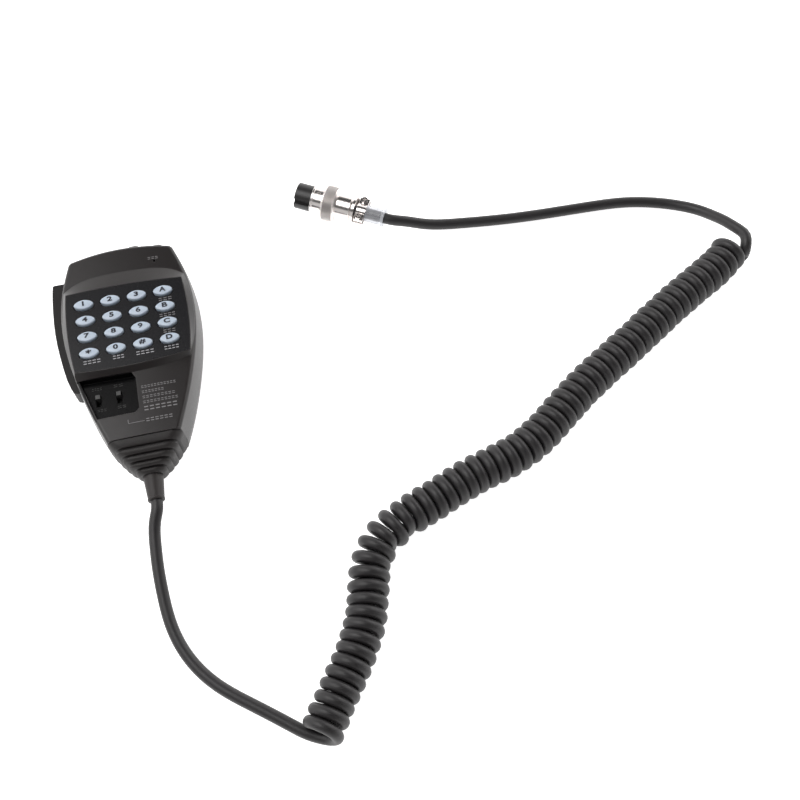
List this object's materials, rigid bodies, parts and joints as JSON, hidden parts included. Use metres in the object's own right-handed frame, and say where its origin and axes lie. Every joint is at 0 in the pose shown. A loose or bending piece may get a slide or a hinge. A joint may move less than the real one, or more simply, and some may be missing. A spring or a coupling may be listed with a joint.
{
  "type": "hand microphone",
  "caption": "Hand microphone with lit number pad, side push-to-talk lever, top buttons, coiled cord and screw-ring plug.",
  "frame": {"origin": "centre of the outer face of the hanger stud's head, on the surface the microphone lies on", "axes": "+Z out of the keypad face, +Y towards the edge with the two top buttons, +X to the right when looking at the keys"},
  "size_m": [0.341, 0.2752, 0.0321],
  "materials": {
    "case_plastic": "fine matte moulded plastic, near black",
    "panel_plastic": "satin black flat panel",
    "key_plastic": "pale blue-grey translucent keys",
    "button_plastic": "dark grey",
    "boot_rubber": "matte black rubber",
    "cord_jacket": "satin black jacket",
    "nickel": "bright nickel plate",
    "insert_plastic": "black, semi-gloss",
    "clear_vinyl": "clear tube",
    "contact_brass": "plated",
    "steel": "zinc plated",
    "board": "solder mask",
    "chip_plastic": "moulded",
    "mat_rubber": "grey silicone",
    "lamp": "pale lens",
    "wire_plastic": "coloured insulation"
  },
  "bodies": {
    "handset": {"front_case": "case_plastic", "rear_case": "case_plastic", "key_panel": "panel_plastic", "keypad_mat": "mat_rubber", "main_pcb": "board", "pcb_screws": "steel", "control_chips": "chip_plastic", "quartz_crystal": "steel", "backlight_leds": "lamp", "filter_capacitors": "chip_plastic", "mic_capsule": "steel", "capsule_holder": "boot_rubber", "case_screws": "steel", "hanger_stud": "nickel", "stud_nut": "steel", "end_boot": "boot_rubber", "strain_relief": "boot_rubber", "cord_mic_end": "cord_jacket", "mic_end_wires": "wire_plastic", "ptt_pivot_pin": "steel", "ptt_switch_body": "chip_plastic", "tact_switch_bodies": "chip_plastic", "slide_switch_bodies": "chip_plastic", "coil_cord": "cord_jacket", "ptt_return_spring": "steel"},
    "key_1_body": {"key_1": "key_plastic"},
    "key_2_body": {"key_2": "key_plastic"},
    "key_3_body": {"key_3": "key_plastic"},
    "key_a_body": {"key_a": "key_plastic"},
    "key_4_body": {"key_4": "key_plastic"},
    "key_5_body": {"key_5": "key_plastic"},
    "key_6_body": {"key_6": "key_plastic"},
    "key_b_body": {"key_b": "key_plastic"},
    "key_7_body": {"key_7": "key_plastic"},
    "key_8_body": {"key_8": "key_plastic"},
    "key_9_body": {"key_9": "key_plastic"},
    "key_c_body": {"key_c": "key_plastic"},
    "key_star_body": {"key_star": "key_plastic"},
    "key_0_body": {"key_0": "key_plastic"},
    "key_hash_body": {"key_hash": "key_plastic"},
    "key_d_body": {"key_d": "key_plastic"},
    "up_button_body": {"up_button": "button_plastic", "up_switch_plunger": "chip_plastic"},
    "down_button_body": {"down_button": "button_plastic", "down_switch_plunger": "chip_plastic"},
    "lever_body": {"ptt_lever": "case_plastic"},
    "switch_plunger_body": {"ptt_switch_plunger": "chip_plastic"},
    "lock_knob_body": {"lock_switch_knob": "button_plastic"},
    "mode_knob_body": {"mode_switch_knob": "button_plastic"},
    "plug": {"plug_barrel": "nickel", "plug_insert": "insert_plastic", "plug_contacts": "contact_brass", "insert_set_screw": "nickel", "plug_clamp_body": "nickel", "clamp_saddle": "nickel", "clamp_screws": "nickel", "cord_sleeve": "clear_vinyl", "cord_plug_end": "cord_jacket"},
    "ring_slider": {"ring_snap_clip": "steel"},
    "ring": {"coupling_ring": "nickel"}
  },
  "joints": [
    {"name": "key_1_press", "type": "slide", "parent": "handset", "child": "key_1_body", "axis": [0, 0, -1], "range_m": [0, 0.0009]},
    {"name": "key_2_press", "type": "slide", "parent": "handset", "child": "key_2_body", "axis": [0, 0, -1], "range_m": [0, 0.0009]},
    {"name": "key_3_press", "type": "slide", "parent": "handset", "child": "key_3_body", "axis": [0, 0, -1], "range_m": [0, 0.0009]},
    {"name": "key_a_press", "type": "slide", "parent": "handset", "child": "key_a_body", "axis": [0, 0, -1], "range_m": [0, 0.0009]},
    {"name": "key_4_press", "type": "slide", "parent": "handset", "child": "key_4_body", "axis": [0, 0, -1], "range_m": [0, 0.0009]},
    {"name": "key_5_press", "type": "slide", "parent": "handset", "child": "key_5_body", "axis": [0, 0, -1], "range_m": [0, 0.0009]},
    {"name": "key_6_press", "type": "slide", "parent": "handset", "child": "key_6_body", "axis": [0, 0, -1], "range_m": [0, 0.0009]},
    {"name": "key_b_press", "type": "slide", "parent": "handset", "child": "key_b_body", "axis": [0, 0, -1], "range_m": [0, 0.0009]},
    {"name": "key_7_press", "type": "slide", "parent": "handset", "child": "key_7_body", "axis": [0, 0, -1], "range_m": [0, 0.0009]},
    {"name": "key_8_press", "type": "slide", "parent": "handset", "child": "key_8_body", "axis": [0, 0, -1], "range_m": [0, 0.0009]},
    {"name": "key_9_press", "type": "slide", "parent": "handset", "child": "key_9_body", "axis": [0, 0, -1], "range_m": [0, 0.0009]},
    {"name": "key_c_press", "type": "slide", "parent": "handset", "child": "key_c_body", "axis": [0, 0, -1], "range_m": [0, 0.0009]},
    {"name": "key_star_press", "type": "slide", "parent": "handset", "child": "key_star_body", "axis": [0, 0, -1], "range_m": [0, 0.0009]},
    {"name": "key_0_press", "type": "slide", "parent": "handset", "child": "key_0_body", "axis": [0, 0, -1], "range_m": [0, 0.0009]},
    {"name": "key_hash_press", "type": "slide", "parent": "handset", "child": "key_hash_body", "axis": [0, 0, -1], "range_m": [0, 0.0009]},
    {"name": "key_d_press", "type": "slide", "parent": "handset", "child": "key_d_body", "axis": [0, 0, -1], "range_m": [0, 0.0009]},
    {"name": "up_button_press", "type": "slide", "parent": "handset", "child": "up_button_body", "axis": [0, -1, 0], "range_m": [0, 0.0005]},
    {"name": "down_button_press", "type": "slide", "parent": "handset", "child": "down_button_body", "axis": [0, -1, 0], "range_m": [0, 0.0005]},
    {"name": "ptt_press", "type": "hinge", "parent": "handset", "child": "lever_body", "pos_m": [-0.022, -0.022, 0.0126], "axis": [0, 0, -1], "range_deg": [0, 3], "deforming": ["ptt_return_spring"]},
    {"name": "ptt_plunger_in", "type": "slide", "parent": "handset", "child": "switch_plunger_body", "axis": [1, 0, 0], "range_m": [0, 0.001]},
    {"name": "lock_slide", "type": "slide", "parent": "handset", "child": "lock_knob_body", "axis": [0, -1, 0], "range_m": [0, 0.003]},
    {"name": "mode_slide", "type": "slide", "parent": "handset", "child": "mode_knob_body", "axis": [0, -1, 0], "range_m": [0, 0.003]},
    {"name": "cord_stretch", "type": "slide", "parent": "handset", "child": "plug", "axis": [0.8852, 0.4651, 0], "range_m": [0, 0.2], "deforming": ["coil_cord"]},
    {"name": "ring_slide", "type": "slide", "parent": "plug", "child": "ring_slider", "axis": [-0.8672, 0.4979, 0], "range_m": [0, 0.0091]},
    {"name": "ring_spin", "type": "hinge", "parent": "ring_slider", "child": "ring", "pos_m": [0.10571, 0.05854, 0.0095], "axis": [-0.8672, 0.4979, 0], "continuous": true}
  ],
  "couplings": [
    {"joint": "ptt_plunger_in", "follows": "ptt_press", "m_per_rad": 0.0172}
  ]
}
